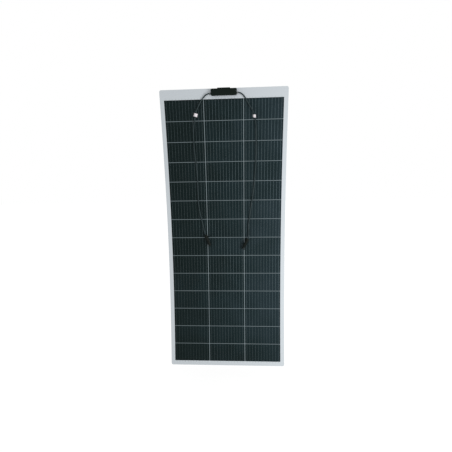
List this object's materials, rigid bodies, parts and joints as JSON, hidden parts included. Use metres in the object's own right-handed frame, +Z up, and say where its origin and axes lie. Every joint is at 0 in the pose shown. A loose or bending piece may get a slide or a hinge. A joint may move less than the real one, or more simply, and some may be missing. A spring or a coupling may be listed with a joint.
{
  "type": "flexible solar sheet",
  "caption": "Thin bendable portrait solar sheet of half-cut cells in a white border, with a slim front junction box and two leads that end in a plug and a socket.",
  "frame": {"origin": "middle of the back face of the middle length of the sheet, the face that is bonded to a roof or deck", "axes": "+Z up the long side towards the junction box, +X to the right seen from the front, cells face -Y, the back faces +Y"},
  "size_m": [0.68, 0.0685, 1.5762],
  "materials": {
    "front_film": "clear textured film, satin",
    "encapsulant": "clear over the cells, white behind",
    "cell": "dark blue-black, smooth",
    "ribbon": "tinned copper",
    "board": "white, fine weave",
    "box_black": "moulded, matte",
    "pad": "matte",
    "gasket": "matte",
    "terminal": "tinned",
    "diode": "moulded",
    "bush": "satin",
    "cable": "satin",
    "tag": "white printed-label stock, blank",
    "connector": "moulded, fine grain",
    "contact": "tin plated"
  },
  "bodies": {
    "sheet_4": {"front_film_4": "front_film", "encapsulant_4": "encapsulant", "cells_4": "cell", "cell_ribbons_4": "ribbon", "back_board_4": "board", "lead_left_4": "cable", "lead_right_4": "cable", "socket_housing": "connector", "socket_nut": "connector", "socket_contact": "contact", "plug_housing": "connector", "plug_nut": "connector", "plug_contact": "contact"},
    "sheet_3": {"front_film_3": "front_film", "encapsulant_3": "encapsulant", "cells_3": "cell", "cell_ribbons_3": "ribbon", "back_board_3": "board", "lead_left_3": "cable", "lead_right_3": "cable"},
    "sheet_2": {"front_film_2": "front_film", "encapsulant_2": "encapsulant", "cells_2": "cell", "cell_ribbons_2": "ribbon", "back_board_2": "board", "lead_left_2": "cable", "lead_right_2": "cable"},
    "sheet_1": {"front_film_1": "front_film", "encapsulant_1": "encapsulant", "cells_1": "cell", "cell_ribbons_1": "ribbon", "back_board_1": "board", "adhesive_pad": "pad", "junction_box_base": "box_black", "lid_gasket": "gasket", "terminal_plates": "terminal", "bypass_diodes": "diode", "strain_reliefs": "bush", "lead_left_1": "cable", "lead_right_1": "cable", "lead_tag_left": "tag", "lead_tag_right": "tag"},
    "box_lid": {"junction_box_lid": "box_black"},
    "sheet_5": {"front_film_5": "front_film", "encapsulant_5": "encapsulant", "cells_5": "cell", "cell_ribbons_5": "ribbon", "back_board_5": "board"},
    "sheet_6": {"front_film_6": "front_film", "encapsulant_6": "encapsulant", "cells_6": "cell", "cell_ribbons_6": "ribbon", "back_board_6": "board"},
    "sheet_7": {"front_film_7": "front_film", "encapsulant_7": "encapsulant", "cells_7": "cell", "cell_ribbons_7": "ribbon", "back_board_7": "board"},
    "latch_outer": {"plug_latch_outer": "connector"},
    "latch_inner": {"plug_latch_inner": "connector"}
  },
  "joints": [
    {"name": "sheet_bend", "type": "hinge", "parent": "sheet_4", "child": "sheet_3", "pos_m": [0, -0.0015, 0.1075], "axis": [1, 0, 0], "range_deg": [-7, 3], "stiffness_Nm_per_rad": 30},
    {"name": "bend_line_2", "type": "hinge", "parent": "sheet_3", "child": "sheet_2", "pos_m": [0, -0.009, 0.32237], "axis": [1, 0, 0], "range_deg": [-7, 3], "stiffness_Nm_per_rad": 30},
    {"name": "bend_line_1", "type": "hinge", "parent": "sheet_2", "child": "sheet_1", "pos_m": [0, -0.024, 0.53685], "axis": [1, 0, 0], "range_deg": [-7, 3], "stiffness_Nm_per_rad": 30},
    {"name": "bend_line_4", "type": "hinge", "parent": "sheet_4", "child": "sheet_5", "pos_m": [0, -0.0015, -0.1075], "axis": [-1, 0, 0], "range_deg": [-7, 3], "stiffness_Nm_per_rad": 30},
    {"name": "bend_line_5", "type": "hinge", "parent": "sheet_5", "child": "sheet_6", "pos_m": [0, -0.009, -0.32237], "axis": [-1, 0, 0], "range_deg": [-7, 3], "stiffness_Nm_per_rad": 30},
    {"name": "bend_line_6", "type": "hinge", "parent": "sheet_6", "child": "sheet_7", "pos_m": [0, -0.024, -0.53685], "axis": [-1, 0, 0], "range_deg": [-7, 3], "stiffness_Nm_per_rad": 30},
    {"name": "lid_pull", "type": "slide", "parent": "sheet_1", "child": "box_lid", "axis": [0, -0.9945, -0.1045], "range_m": [0, 0.025]},
    {"name": "latch_press_outer", "type": "hinge", "parent": "sheet_4", "child": "latch_outer", "pos_m": [0.11556, -0.0128, -0.04768], "axis": [0, 1, 0], "range_deg": [0, 4], "stiffness_Nm_per_rad": 0.01},
    {"name": "latch_press_inner", "type": "hinge", "parent": "sheet_4", "child": "latch_inner", "pos_m": [0.1016, -0.0128, -0.04117], "axis": [0, -1, 0], "range_deg": [0, 4], "stiffness_Nm_per_rad": 0.01}
  ],
  "couplings": [
    {"joint": "bend_line_2", "follows": "sheet_bend", "ratio": 1},
    {"joint": "bend_line_1", "follows": "sheet_bend", "ratio": 1},
    {"joint": "bend_line_4", "follows": "sheet_bend", "ratio": 1},
    {"joint": "bend_line_5", "follows": "sheet_bend", "ratio": 1},
    {"joint": "bend_line_6", "follows": "sheet_bend", "ratio": 1}
  ]
}
